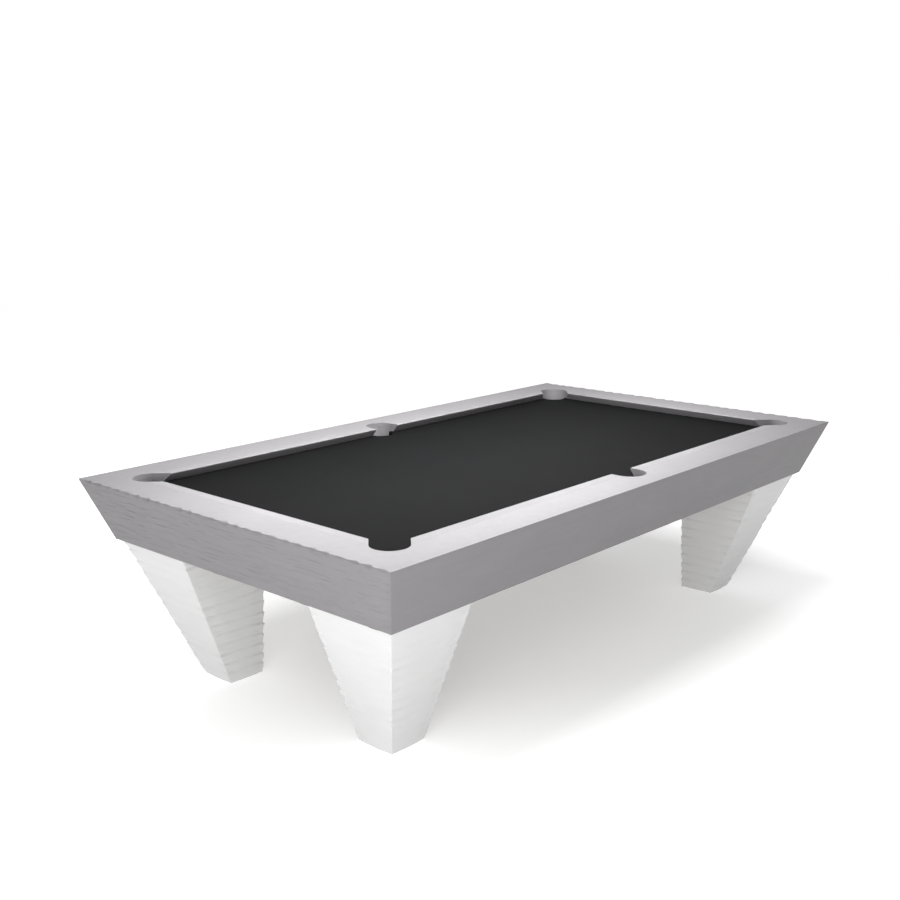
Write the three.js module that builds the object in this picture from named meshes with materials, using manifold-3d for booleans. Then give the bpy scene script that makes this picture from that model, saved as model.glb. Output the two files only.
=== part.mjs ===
// Nine-foot slate-bed pool table with a slanted apron and tapered block legs.
// Millimetres, +Z up. The origin is on the floor under the middle of the table,
// +X runs along the table and -Y is the front.

import * as THREE from 'three';
import * as BufferGeometryUtils from 'three/addons/utils/BufferGeometryUtils.js';
import Module from 'manifold-3d';

const wasm = await Module();
wasm.setup();

// ---------------------------------------------------------------- driving dimensions

const FIELD_LENGTH = 2540;            // playing field, cushion nose to cushion nose
const FIELD_WIDTH = FIELD_LENGTH / 2;
const RAIL_WIDTH = 190;               // cushion nose to the outer top edge
const TABLE_HEIGHT = 795;             // top of the rails
const NOSE_HEIGHT = 36;               // top of the rails above the bed cloth
const JOINT_GAP = 0.3;                // clearance between neighbouring pieces

const CAP_THICKNESS = 22;
const APRON_HEIGHT = 240;
const APRON_INSET = 89;               // how far the apron leans in over its height
const APRON_THICKNESS = 22;
const APRON_LEAN = APRON_INSET / APRON_HEIGHT;

// Under POCKET_RADIUS / sqrt(2), where a corner pocket's round end crosses the mitre, so
// that the two rail caps meet all the way round behind the pocket.
const CUSHION_DEPTH = 46;
const CUSHION_UNDERCUT = 24;          // the cushion's foot stands this far behind its nose
const NOSE_RADIUS = 3;
const NOSE_MIDPOINT = 0.3 * NOSE_RADIUS;  // halfway round the nose, in from either face

const CLOTH_THICKNESS = 1;
const SLATE_THICKNESS = 30;
const SLATE_MARGIN = 76;              // slate beyond the cushion nose
const CLOTH_MARGIN = 44;              // cloth beyond the cushion nose, short of the rail body

const POCKET_RADIUS = 66;             // slot through rail and cushion
const HOLE_RADIUS = 62;               // hole in the slate
const HOLE_SETBACK = 4;               // slate hole centre, outward of the slot's centre
const SIDE_POCKET_SETBACK = 39;       // side slot's centre, outward of the nose line
const THROAT_REACH = 3 * POCKET_RADIUS;  // how far the slot runs in over the field
const LINER_WALL = 8;
const LINER_REACH = { corner: 86, side: 82 };  // degrees either way from straight outward
const CUP_HEIGHT = 119;
const CUP_TOP_RADIUS = 65;
const CUP_BOTTOM_RADIUS = 49;
const CUP_WALL = 3;
const CUP_FLANGE_RADIUS = 80;

const BEAM_THICKNESS = 45;
const BEAM_OFFSET_Y = 527;            // middle of the long beams
const BEAM_OFFSET_X = 1163;           // middle of the end beams
const BEAM_HALF_LENGTH = 1310;
const JOINT_BEAM_WIDTH = 90;

const LEG_INSET_TOP = 103;            // outer leg faces, inside the outer top edge
const LEG_INSET_FOOT = 309;
const LEG_INNER_TOP = 490;            // inner leg faces, inside the outer top edge
const LEG_INNER_FOOT = 474;
const LEG_WALL = 20;
const PLATE_THICKNESS = 9.5;
const PLATE_MARGIN = { inner: 6, outer: 11 };  // leg's top outline beyond the plate
const POST_SIZE = 80;
const POST_WALL = 5;

const STUD_RADIUS = 10;
const STUD_TOP = 125;
const STUD_POINT = 2;                 // chamfer at the stud's upper end
const HUB_RADIUS = 16;
const PAD_RADIUS = 30;
const PAD_LIFT = 1.5;                 // pad above the floor when the foot is wound in
const PAD_EDGE = 2;
const PAD_THICKNESS = 5;
const COLLAR_RADIUS = 26;
const COLLAR_BOTTOM = 27;
const COLLAR_TOP = 44;
const HEX_RADIUS = 17;
const FOOT_GAP = 0.5;                 // the pad's hub below the hexagon when wound in
const HEX_DROP = 8;                   // the collar's hexagon hangs this far below the post
const CORE_BOTTOM = 22;

// Clearances round the captive collar, and the steel left above it and at the post's head.
const COLLAR_PLAY = { side: 2, end: 0.7 };
const HEX_PLAY = 2.5;
const THREAD_PLAY = { collar: 0.6, post: 2 };
const HOUSING_ROOF = 7;
const POST_LID = 2;

const CUT_PAST = 10;                  // how far a cutter runs past what it cuts
const WELD = 1;                       // overlap between the primitives of one solid

// ---------------------------------------------------------------- derived sizes

const HALF_FIELD = { x: FIELD_LENGTH / 2, y: FIELD_WIDTH / 2 };
const HALF_OUTER = { x: HALF_FIELD.x + RAIL_WIDTH, y: HALF_FIELD.y + RAIL_WIDTH };
const CAP_BOTTOM = TABLE_HEIGHT - CAP_THICKNESS;
const CLOTH_TOP = TABLE_HEIGHT - NOSE_HEIGHT;
const SLATE_TOP = CLOTH_TOP - CLOTH_THICKNESS - JOINT_GAP;
const SLATE_BOTTOM = SLATE_TOP - SLATE_THICKNESS;
const FRAME_TOP = SLATE_BOTTOM - JOINT_GAP;
const APRON_BOTTOM = TABLE_HEIGHT - APRON_HEIGHT;
const LEG_TOP = APRON_BOTTOM - JOINT_GAP;
const PLATE_BOTTOM = LEG_TOP + JOINT_GAP * 2;
const FRAME_BOTTOM = PLATE_BOTTOM + PLATE_THICKNESS + JOINT_GAP;
const RAIL_BODY_START = CUSHION_DEPTH + JOINT_GAP * 2;

// The apron's horizontal thickness, and how far in the mitre between cap and apron runs.
const APRON_SKIN = APRON_THICKNESS * Math.hypot(1, APRON_LEAN);
const CAP_MITRE = CAP_THICKNESS * APRON_LEAN + APRON_SKIN;

const FOOT_CENTRE = {
  x: HALF_OUTER.x - (LEG_INSET_FOOT + LEG_INNER_FOOT) / 2,
  y: HALF_OUTER.y - (LEG_INSET_FOOT + LEG_INNER_FOOT) / 2
};

// ---------------------------------------------------------------- materials

function finish(color, roughness, metalness = 0) {
  return new THREE.MeshStandardMaterial({ color, roughness, metalness });
}

const MATERIAL = {
  greyCarving: finish(0xb4b2b3, 0.6),
  whiteCarving: finish(0xeeeeee, 0.5),
  cushionCloth: finish(0xa9a7a8, 0.9),
  bedCloth: finish(0x232527, 0.95),
  slate: finish(0x4a4d52, 0.8),
  beech: finish(0xb98f5f, 0.65),
  steel: finish(0x8d9095, 0.35, 1),
  blackRubber: finish(0x121212, 0.8)
};

// ---------------------------------------------------------------- solid helpers

// A three.js geometry as a manifold solid.
function solid(geometry) {
  const plain = geometry.clone();
  plain.deleteAttribute('normal');
  plain.deleteAttribute('uv');
  const merged = BufferGeometryUtils.mergeVertices(plain, 1e-4);
  return new wasm.Manifold(new wasm.Mesh({
    numProp: 3,
    vertProperties: new Float32Array(merged.attributes.position.array),
    triVerts: new Uint32Array(merged.index.array)
  }));
}

// A manifold solid as a three.js geometry with flat-shaded normals.
function geometryOf(body) {
  const mesh = body.getMesh();
  const indexed = new THREE.BufferGeometry();
  indexed.setAttribute('position', new THREE.BufferAttribute(new Float32Array(mesh.vertProperties), 3));
  indexed.setIndex(new THREE.BufferAttribute(new Uint32Array(mesh.triVerts), 1));
  const flat = indexed.toNonIndexed();
  flat.computeVertexNormals();
  return flat;
}

function node(name, body, material) {
  const mesh = new THREE.Mesh(geometryOf(body), material);
  mesh.name = name;
  return mesh;
}

// A box between two corners.
function box(x0, x1, y0, y1, z0, z1) {
  const geometry = new THREE.BoxGeometry(x1 - x0, y1 - y0, z1 - z0);
  return solid(geometry.translate((x0 + x1) / 2, (y0 + y1) / 2, (z0 + z1) / 2));
}

// An upright cylinder between two heights.
function post(radius, z0, z1, x = 0, y = 0, sides = 24) {
  const geometry = new THREE.CylinderGeometry(radius, radius, z1 - z0, sides);
  return solid(geometry.rotateX(Math.PI / 2).translate(x, y, (z0 + z1) / 2));
}

// A block with four slanted sides: low and high are [near, far] on both X and Y.
function taperedBlock(low, high, z0, z1) {
  const geometry = new THREE.BoxGeometry(1, 1, 1);
  const position = geometry.attributes.position;
  for (let i = 0; i < position.count; i++) {
    const span = position.getZ(i) > 0 ? high : low;
    const x = position.getX(i) > 0 ? span[1] : span[0];
    const y = position.getY(i) > 0 ? span[1] : span[0];
    position.setXYZ(i, x, y, position.getZ(i) > 0 ? z1 : z0);
  }
  return solid(geometry);
}

// A closed profile of [radius, height] points turned about Z.
function turned(profile, sides) {
  const points = profile.map(([r, z]) => new THREE.Vector2(r, z));
  points.push(points[0].clone());
  return solid(new THREE.LatheGeometry(points, sides).rotateX(Math.PI / 2));
}

// A strip that runs along one side of the table with mitred ends. The section is a list
// of [out, z] points, out being measured outward from the nose line; half is half the
// length of that side's nose line.
function mitredStrip(section, half, gap = JOINT_GAP / 2) {
  const shape = new THREE.Shape(section.map(([out, z]) => new THREE.Vector2(out, z)));
  const geometry = new THREE.ExtrudeGeometry(shape, { depth: 1, bevelEnabled: false });
  const position = geometry.attributes.position;
  for (let i = 0; i < position.count; i++) {
    const out = position.getX(i);
    const end = position.getZ(i) > 0.5 ? 1 : -1;
    position.setXYZ(i, end * (half + out - gap), out, position.getY(i));
  }
  return solid(geometry);
}

// Where the apron's outer face stands at height z, measured outward from the nose line.
function apronFace(z) {
  return RAIL_WIDTH - (TABLE_HEIGHT - z) * APRON_LEAN;
}

// ---------------------------------------------------------------- pockets

// Facets round a slot, along a liner's wall, round a cup and round a levelling foot.
const POCKET_SIDES = 32;
const LINER_SEGMENTS = 10;
const CUP_SIDES = 24;
const FOOT_SIDES = 16;

// The six pockets: where each slot's centre stands and which way it opens outward.
const POCKETS = [];
for (const [row, sy] of [['front', -1], ['back', 1]]) {
  for (const [column, sx] of [['left', -1], ['middle', 0], ['right', 1]]) {
    const setback = sx === 0 ? SIDE_POCKET_SETBACK : 0;
    POCKETS.push({
      name: `${row}_${column}`,
      x: sx * HALF_FIELD.x,
      y: sy * (HALF_FIELD.y + setback),
      heading: Math.atan2(sy, sx),
      corner: sx !== 0
    });
  }
}

// Moves a solid made with +X as the pocket's outward way to its pocket.
function atPocket(body, pocket) {
  const turn = pocket.heading * 180 / Math.PI;
  return body.rotate([0, 0, turn]).translate([pocket.x, pocket.y, 0]);
}

// The slot through the rail: round at its outer end and open to the field.
function slotCutter(radius, reachIn) {
  const round = post(radius, SLATE_BOTTOM - CUT_PAST, TABLE_HEIGHT + CUT_PAST, 0, 0, POCKET_SIDES);
  if (reachIn === 0) {
    return round;
  }
  const throat = box(-reachIn, 0, -radius, radius, SLATE_BOTTOM - CUT_PAST, TABLE_HEIGHT + CUT_PAST);
  return round.add(throat);
}

// The slate's hole, with a corridor to the slate's edge that leaves room for the liner.
function slateCutter(pocket) {
  const low = SLATE_BOTTOM - CUT_PAST;
  const high = CLOTH_TOP + CUT_PAST;
  const hole = post(HOLE_RADIUS, low, high, HOLE_SETBACK, 0, POCKET_SIDES);
  const start = pocket.corner ? HOLE_SETBACK : CUSHION_DEPTH - SIDE_POCKET_SETBACK;
  const halfWidth = POCKET_RADIUS + LINER_WALL + 2 * JOINT_GAP;
  return hole.add(box(start, RAIL_WIDTH, -halfWidth, halfWidth, low, high));
}

function cutByPockets(body, makeCutter) {
  let result = body;
  for (const pocket of POCKETS) {
    result = result.subtract(atPocket(makeCutter(pocket), pocket));
  }
  return result;
}

// The wall round the outer half of the slot, from the cap down past the slate's edge.
function pocketLiner(pocket) {
  const reach = (pocket.corner ? LINER_REACH.corner : LINER_REACH.side) * Math.PI / 180;
  const outline = new THREE.Shape();
  outline.absarc(0, 0, POCKET_RADIUS + LINER_WALL, -reach, reach, false);
  outline.absarc(0, 0, POCKET_RADIUS, reach, -reach, true);
  const bottom = SLATE_BOTTOM + JOINT_GAP;
  const depth = CAP_BOTTOM - JOINT_GAP - bottom;
  const settings = { depth, bevelEnabled: false, curveSegments: LINER_SEGMENTS };
  const geometry = new THREE.ExtrudeGeometry(outline, settings).translate(0, 0, bottom);
  return atPocket(solid(geometry), pocket);
}

// The drop cup under the slate, with a flange that screws to the rail body.
function pocketCup(pocket) {
  const top = FRAME_TOP;
  const bottom = top - CUP_HEIGHT;
  const profile = [
    [0, bottom],
    [CUP_BOTTOM_RADIUS, bottom],
    [CUP_TOP_RADIUS, top - CUP_WALL],
    [CUP_FLANGE_RADIUS, top - CUP_WALL],
    [CUP_FLANGE_RADIUS, top],
    [CUP_TOP_RADIUS - CUP_WALL, top],
    [CUP_BOTTOM_RADIUS - CUP_WALL, bottom + CUP_WALL],
    [0, bottom + CUP_WALL]
  ];
  return atPocket(turned(profile, CUP_SIDES).translate([HOLE_SETBACK, 0, 0]), pocket);
}

// ---------------------------------------------------------------- rails

const SECTION = {
  cap: [
    [RAIL_BODY_START, CAP_BOTTOM],
    [RAIL_WIDTH - CAP_MITRE, CAP_BOTTOM],
    [RAIL_WIDTH, TABLE_HEIGHT],
    [RAIL_BODY_START, TABLE_HEIGHT]
  ],
  apron: [
    [apronFace(APRON_BOTTOM) - APRON_SKIN, APRON_BOTTOM],
    [apronFace(APRON_BOTTOM), APRON_BOTTOM],
    [apronFace(TABLE_HEIGHT - 2 * JOINT_GAP), TABLE_HEIGHT - 2 * JOINT_GAP],
    [apronFace(CAP_BOTTOM - 2 * JOINT_GAP) - APRON_SKIN, CAP_BOTTOM - 2 * JOINT_GAP]
  ],
  body: [
    [RAIL_BODY_START, SLATE_TOP + JOINT_GAP],
    [SLATE_MARGIN + JOINT_GAP * 2, SLATE_TOP + JOINT_GAP],
    [SLATE_MARGIN + JOINT_GAP * 2, SLATE_BOTTOM + JOINT_GAP],
    [apronFace(SLATE_BOTTOM) - APRON_SKIN - 2 * JOINT_GAP, SLATE_BOTTOM + JOINT_GAP],
    [apronFace(CAP_BOTTOM) - APRON_SKIN - 2 * JOINT_GAP, CAP_BOTTOM - JOINT_GAP],
    [RAIL_BODY_START, CAP_BOTTOM - JOINT_GAP]
  ],
  cushion: [
    [CUSHION_UNDERCUT, CLOTH_TOP + JOINT_GAP],
    [CUSHION_DEPTH, CLOTH_TOP + JOINT_GAP],
    [CUSHION_DEPTH, TABLE_HEIGHT],
    [NOSE_RADIUS, TABLE_HEIGHT],
    [NOSE_MIDPOINT, TABLE_HEIGHT - NOSE_MIDPOINT],
    [0, TABLE_HEIGHT - NOSE_RADIUS]
  ]
};

const SIDES = [
  { name: 'front', half: HALF_FIELD.x, offset: HALF_FIELD.y, turn: 180, split: true },
  { name: 'back', half: HALF_FIELD.x, offset: HALF_FIELD.y, turn: 0, split: true },
  { name: 'left', half: HALF_FIELD.y, offset: HALF_FIELD.x, turn: 90, split: false },
  { name: 'right', half: HALF_FIELD.y, offset: HALF_FIELD.x, turn: -90, split: false }
];

// One side's strip of a section, turned to its side of the table.
function sideStrip(side, section) {
  const strip = mitredStrip(section, side.half).translate([0, side.offset, 0]);
  return strip.rotate([0, 0, side.turn]);
}

// Cushions run from pocket to pocket, so a long side carries two.
function cushions(side) {
  const whole = cutByPockets(sideStrip(side, SECTION.cushion), () => slotCutter(POCKET_RADIUS, THROAT_REACH));
  if (!side.split) {
    return [node(`cushion_${side.name}`, keepMiddle(whole, side), MATERIAL.cushionCloth)];
  }
  const bound = HALF_FIELD.x;
  return [['left', -bound, 0], ['right', 0, bound]].map(([end, x0, x1]) => {
    const window = box(x0, x1, -HALF_OUTER.y, HALF_OUTER.y, 0, TABLE_HEIGHT + CUT_PAST);
    return node(`cushion_${side.name}_${end}`, whole.intersect(window), MATERIAL.cushionCloth);
  });
}

// Drops the slivers left outside the corner slots.
function keepMiddle(body, side) {
  const half = side.half;
  return body.intersect(box(-HALF_OUTER.x, HALF_OUTER.x, -half, half, 0, TABLE_HEIGHT + CUT_PAST));
}

function rail(side) {
  const cap = cutByPockets(sideStrip(side, SECTION.cap), () => slotCutter(POCKET_RADIUS, 0));
  const linerRoom = POCKET_RADIUS + LINER_WALL + 2 * JOINT_GAP;
  const body = cutByPockets(sideStrip(side, SECTION.body), () => slotCutter(linerRoom, 0));
  const group = new THREE.Group();
  group.add(node(`rail_cap_${side.name}`, cap, MATERIAL.greyCarving));
  group.add(node(`apron_panel_${side.name}`, sideStrip(side, SECTION.apron), MATERIAL.greyCarving));
  group.add(node(`rail_body_${side.name}`, body, MATERIAL.beech));
  group.add(...cushions(side));
  return group;
}

// ---------------------------------------------------------------- bed and frame

// The slate is three slabs side by side, pocket holes cut through.
function slates() {
  const halfX = HALF_FIELD.x + SLATE_MARGIN;
  const halfY = HALF_FIELD.y + SLATE_MARGIN;
  const third = 2 * halfX / 3;
  const group = new THREE.Group();
  ['left', 'middle', 'right'].forEach((name, i) => {
    const x0 = -halfX + i * third;
    const slab = box(x0, x0 + third - JOINT_GAP, -halfY, halfY, SLATE_BOTTOM, SLATE_TOP);
    group.add(node(`slate_${name}`, cutByPockets(slab, slateCutter), MATERIAL.slate));
  });
  return group;
}

function bedCloth() {
  const halfX = HALF_FIELD.x + CLOTH_MARGIN;
  const halfY = HALF_FIELD.y + CLOTH_MARGIN;
  const sheet = box(-halfX, halfX, -halfY, halfY, CLOTH_TOP - CLOTH_THICKNESS, CLOTH_TOP);
  return node('bed_cloth', cutByPockets(sheet, slateCutter), MATERIAL.bedCloth);
}

function beam(name, x, y, halfX, halfY) {
  const body = box(x - halfX, x + halfX, y - halfY, y + halfY, FRAME_BOTTOM, FRAME_TOP);
  return node(name, body, MATERIAL.beech);
}

// Two long beams with five beams across, one under each slate joint.
function frame() {
  const half = BEAM_THICKNESS / 2;
  const across = BEAM_OFFSET_Y - half - JOINT_GAP;
  const jointX = (HALF_FIELD.x + SLATE_MARGIN) / 3;
  const group = new THREE.Group();
  group.add(beam('frame_beam_front', 0, -BEAM_OFFSET_Y, BEAM_HALF_LENGTH, half));
  group.add(beam('frame_beam_back', 0, BEAM_OFFSET_Y, BEAM_HALF_LENGTH, half));
  group.add(beam('frame_end_beam_left', -BEAM_OFFSET_X, 0, half, across));
  group.add(beam('frame_end_beam_right', BEAM_OFFSET_X, 0, half, across));
  group.add(beam('slate_joint_beam_left', -jointX, 0, JOINT_BEAM_WIDTH / 2, across));
  group.add(beam('slate_joint_beam_right', jointX, 0, JOINT_BEAM_WIDTH / 2, across));
  group.add(beam('frame_centre_beam', 0, 0, half, across));
  return group;
}

// ---------------------------------------------------------------- legs

// Leg solids are made about the foot's centre with +X and +Y as the outward ways.
const LEG_HIGH = [
  HALF_OUTER.x - LEG_INNER_TOP - FOOT_CENTRE.x,
  HALF_OUTER.x - LEG_INSET_TOP - FOOT_CENTRE.x
];
const LEG_LOW = [
  HALF_OUTER.x - LEG_INNER_FOOT - FOOT_CENTRE.x,
  HALF_OUTER.x - LEG_INSET_FOOT - FOOT_CENTRE.x
];

// The leg is a hollow tapered block, open at its top and its foot.
function legShell() {
  const outer = taperedBlock(LEG_LOW, LEG_HIGH, 0, LEG_TOP);
  const slope = (LEG_HIGH[1] - LEG_LOW[1]) / LEG_TOP;
  const skin = LEG_WALL * Math.hypot(1, slope);
  const hollow = (span, z) => [
    span[0] + LEG_WALL + (z - span[2]) * (LEG_HIGH[0] - LEG_LOW[0]) / LEG_TOP,
    span[1] - skin + (z - span[2]) * slope
  ];
  const low = hollow([...LEG_LOW, 0], -CUT_PAST);
  const high = hollow([...LEG_HIGH, LEG_TOP], LEG_TOP + CUT_PAST);
  return outer.subtract(taperedBlock(low, high, -CUT_PAST, LEG_TOP + CUT_PAST));
}

// Steel core: a top plate that carries the frame, a square tube and a collar housing.
function legCore() {
  const half = POST_SIZE / 2;
  const bore = half - POST_WALL;
  const plateNear = LEG_HIGH[0] + PLATE_MARGIN.inner;
  const plateFar = LEG_HIGH[1] - PLATE_MARGIN.outer;
  const plateTop = PLATE_BOTTOM + PLATE_THICKNESS;
  const plate = box(plateNear, plateFar, plateNear, plateFar, PLATE_BOTTOM, plateTop);
  const tube = box(-half, half, -half, half, CORE_BOTTOM, PLATE_BOTTOM + WELD);
  const inside = box(-bore, bore, -bore, bore, COLLAR_TOP + HOUSING_ROOF, PLATE_BOTTOM - POST_LID);
  const low = COLLAR_BOTTOM - COLLAR_PLAY.end;
  const high = COLLAR_TOP + COLLAR_PLAY.end;
  const across = half + CUT_PAST;
  const windowHalf = COLLAR_RADIUS + COLLAR_PLAY.side;
  const spannerWindow = box(-across, across, -windowHalf, windowHalf, low, high);
  const hexHole = post(HEX_RADIUS + HEX_PLAY, CORE_BOTTOM - CUT_PAST, low + WELD);
  const studHole = post(STUD_RADIUS + THREAD_PLAY.post, high - WELD, COLLAR_TOP + HOUSING_ROOF + WELD);
  return plate.add(tube).subtract(inside).subtract(spannerWindow).subtract(hexHole).subtract(studHole);
}

// The captive collar that turns on the stud: a disc with a hexagon below it.
function levellingCollar() {
  const disc = post(COLLAR_RADIUS, COLLAR_BOTTOM, COLLAR_TOP);
  const hexagon = post(HEX_RADIUS, CORE_BOTTOM - HEX_DROP, COLLAR_BOTTOM + WELD, 0, 0, 6);
  return disc.add(hexagon).subtract(post(STUD_RADIUS + THREAD_PLAY.collar, 0, STUD_TOP));
}

// The foot: a threaded stud rising from a round pad.
function levellingFoot() {
  const hub = CORE_BOTTOM - HEX_DROP - FOOT_GAP;
  return turned([
    [0, PAD_LIFT],
    [PAD_RADIUS - PAD_EDGE, PAD_LIFT],
    [PAD_RADIUS, PAD_LIFT + PAD_EDGE],
    [PAD_RADIUS, PAD_LIFT + PAD_THICKNESS],
    [HUB_RADIUS, hub],
    [STUD_RADIUS, hub],
    [STUD_RADIUS, STUD_TOP - STUD_POINT],
    [STUD_RADIUS - STUD_POINT, STUD_TOP],
    [0, STUD_TOP]
  ], FOOT_SIDES);
}

const LEGS = [
  { name: 'back_right', sx: 1, sy: 1, turn: 0 },
  { name: 'back_left', sx: -1, sy: 1, turn: 90 },
  { name: 'front_left', sx: -1, sy: -1, turn: 180 },
  { name: 'front_right', sx: 1, sy: -1, turn: 270 }
];

function leg({ name, sx, sy, turn }) {
  const group = new THREE.Group();
  group.position.set(sx * FOOT_CENTRE.x, sy * FOOT_CENTRE.y, 0);
  group.rotation.z = turn * Math.PI / 180;
  group.add(node(`leg_shell_${name}`, legShell(), MATERIAL.whiteCarving));
  group.add(node(`leg_core_${name}`, legCore(), MATERIAL.steel));
  group.add(node(`levelling_collar_${name}`, levellingCollar(), MATERIAL.steel));
  group.add(node(`levelling_foot_${name}`, levellingFoot(), MATERIAL.steel));
  return group;
}

// ---------------------------------------------------------------- assembly

const table = new THREE.Group();
SIDES.forEach((side) => table.add(rail(side)));
table.add(slates());
table.add(bedCloth());
table.add(frame());
LEGS.forEach((place) => table.add(leg(place)));
POCKETS.forEach((pocket) => {
  table.add(node(`pocket_liner_${pocket.name}`, pocketLiner(pocket), MATERIAL.greyCarving));
  table.add(node(`pocket_cup_${pocket.name}`, pocketCup(pocket), MATERIAL.blackRubber));
});

export default table;
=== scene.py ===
"""A nine-foot pool table with a slanted carved apron, tapered carved legs and a black cloth.

Metres, +Z up, origin on the floor under the middle. The CAD frame gives the sizes: X runs
along the table and -Y is the front. "Out" is measured outward from a cushion's nose line.
"""

import math

import bmesh
import bpy
from mathutils import Matrix, Vector, noise
from mathutils.geometry import delaunay_2d_cdt


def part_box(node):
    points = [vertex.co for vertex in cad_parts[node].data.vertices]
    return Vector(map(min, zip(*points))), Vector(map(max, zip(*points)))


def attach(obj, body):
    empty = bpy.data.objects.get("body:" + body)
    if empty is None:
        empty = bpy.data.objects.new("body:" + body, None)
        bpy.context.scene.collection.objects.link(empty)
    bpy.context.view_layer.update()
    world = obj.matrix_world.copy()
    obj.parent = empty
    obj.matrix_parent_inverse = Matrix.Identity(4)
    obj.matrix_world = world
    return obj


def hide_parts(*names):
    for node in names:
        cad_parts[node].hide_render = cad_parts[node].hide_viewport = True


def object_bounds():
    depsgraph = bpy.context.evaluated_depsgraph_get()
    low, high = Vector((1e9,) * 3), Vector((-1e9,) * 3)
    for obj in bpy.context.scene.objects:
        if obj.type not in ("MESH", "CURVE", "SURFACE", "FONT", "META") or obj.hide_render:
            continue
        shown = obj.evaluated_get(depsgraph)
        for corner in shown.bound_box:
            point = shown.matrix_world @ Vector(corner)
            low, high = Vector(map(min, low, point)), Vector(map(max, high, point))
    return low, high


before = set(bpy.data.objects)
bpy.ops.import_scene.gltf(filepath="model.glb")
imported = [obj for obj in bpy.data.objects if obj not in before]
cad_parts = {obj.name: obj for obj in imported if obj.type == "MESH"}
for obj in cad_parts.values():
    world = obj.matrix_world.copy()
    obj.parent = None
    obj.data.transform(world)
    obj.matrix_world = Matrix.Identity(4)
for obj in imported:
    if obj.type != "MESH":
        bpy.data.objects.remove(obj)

cad_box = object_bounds()

# ------------------------------------------------------------------ sizes from the frame

TABLE_TOP = cad_box[1].z
HALF_OUTER = (cad_box[1].x, cad_box[1].y)
HALF_FIELD = (-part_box("cushion_left")[1].x, -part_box("cushion_front_left")[1].y)
RAIL_WIDTH = HALF_OUTER[0] - HALF_FIELD[0]
CAP_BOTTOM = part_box("rail_cap_front")[0].z
APRON_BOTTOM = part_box("apron_panel_front")[0].z
CLOTH_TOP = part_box("bed_cloth")[1].z
SLATE_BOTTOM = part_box("slate_left")[0].z
LEG_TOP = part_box("leg_shell_front_left")[1].z
CUSHION_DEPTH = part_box("cushion_left")[1].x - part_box("cushion_left")[0].x

# ------------------------------------------------------------------ sizes set here

SEAM = 0.0003                   # gap between neighbouring pieces
WELD = 0.00005                  # points of one piece that lie closer than this are joined
SMOOTH_BELOW = 40               # degrees between faces, below which an edge is shaded smooth

# Aprons
LEAN = 0.089 / 0.240            # how far the apron leans in for each metre down
APRON_SKIN = 0.0235             # the apron's thickness, measured level
APRON_GRID = {"left": (0.006, 0.0020), "right": (0.006, 0.0020),
              "front": (0.010, 0.005), "back": (0.010, 0.005)}     # spacing along and up
CORNER_CALM = 0.016             # the carving fades out this far from a mitre
CORNER_ROUND = 0.0025           # radius along a mitred corner of the apron
CORNER_STEPS = (0.0, 0.2, 0.45, 0.75, 1.2)     # places near a mitre, in corner radii
HALFWAY_ROUND = 1 - math.sqrt(0.5)             # how far a rounding's middle is set back, in radii
RIM_FLAT = 0.023                # the apron's top edge, measured level, outside the rail top
RIM_TURNS = 9

# Cushions
CUSHION_UNDERCUT = 0.024        # how far a cushion's face falls back from its nose to the cloth
CUSHION_SPANS = 48
NOSE_RADIUS = 0.003
NOSE_TURNS = 7

# Pockets and cloth
POCKET_RADIUS = 0.066
SIDE_POCKET_SETBACK = 0.039     # how far out from the nose line a side pocket is centred
MITRE = math.radians(45)
LINER_WALL = 0.008
LINER_REACH = {"corner": math.radians(89.6), "side": math.radians(83.4)}   # half a liner's angle
LINER_STEPS = 56
HOLE_RADIUS = 0.062
HOLE_SETBACK = 0.004            # how far out from its pocket's centre a hole in the bed is centred
HOLE_STEPS = 120
HOLE_ORDER = ("front_left", "front_middle", "front_right", "back_right", "back_middle", "back_left")
CLOTH_GRID = 0.05
CLOTH_CLEARANCE = 0.02          # the grid of points inside the cloth keeps this far from its edge
CLOTH_ROLL = 0.006              # radius of the cloth's turn down into a pocket
CLOTH_THICKNESS = 0.001
CLOTH_TURNS = 4                 # facets round the cloth's turn into a hole
CLOTH_TAIL = 0.012              # cloth glued down inside a hole, below its turn
KEEP_INSIDE = 1                 # the triangulation keeps only what is inside the outline
SAME_PLACE = 1e-7               # the triangulation joins points closer than this

# Legs
LEG_OUTER = {"top": 0.103, "foot": 0.309}      # a leg's outer faces, in from the table's edge
LEG_INNER = {"top": 0.490, "foot": 0.474}      # and its inner faces
LEG_WALL = 0.020
LEG_CORNER_REACH = 0.070        # the carving is deepest at a leg's corners, over this width
LEG_FACE_SHARE = 0.30           # how much of that depth the middle of a face has
LEG_ROUND = 0.0018              # radius along a leg's edges
LEG_END_STEPS = (0.0, 0.2, 0.55)               # levels near a leg's ends, in edge radii
LEG_COLUMNS = 42                # spans across a face
LEG_LEVEL = 0.0045              # height between a leg's levels

# Cups
CUP_WALL = 0.003
CUP_ROUND = 0.008               # radius where a cup's side turns into its floor
CUP_TURNS = 6
CUP_RADIUS = {"floor": 0.049, "mouth": 0.065, "flange": 0.080}

# Levelling feet
STUD_RADIUS = 0.010
STUD_CHAMFER = 0.002
THREAD_PITCH = 0.0025
THREAD_DEPTH = 0.0014
THREAD_SIDES = 24
THREAD_LEVELS = 6               # levels to each turn of the thread
PAD_CHAMFER = 0.002
PAD_EDGE = 0.005                # height of the pad's upright edge
HUB_RADIUS = 0.016
HUB_HEIGHT = 0.012
HUB_OVERLAP = 0.001             # the stud starts this far down inside the hub

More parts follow.
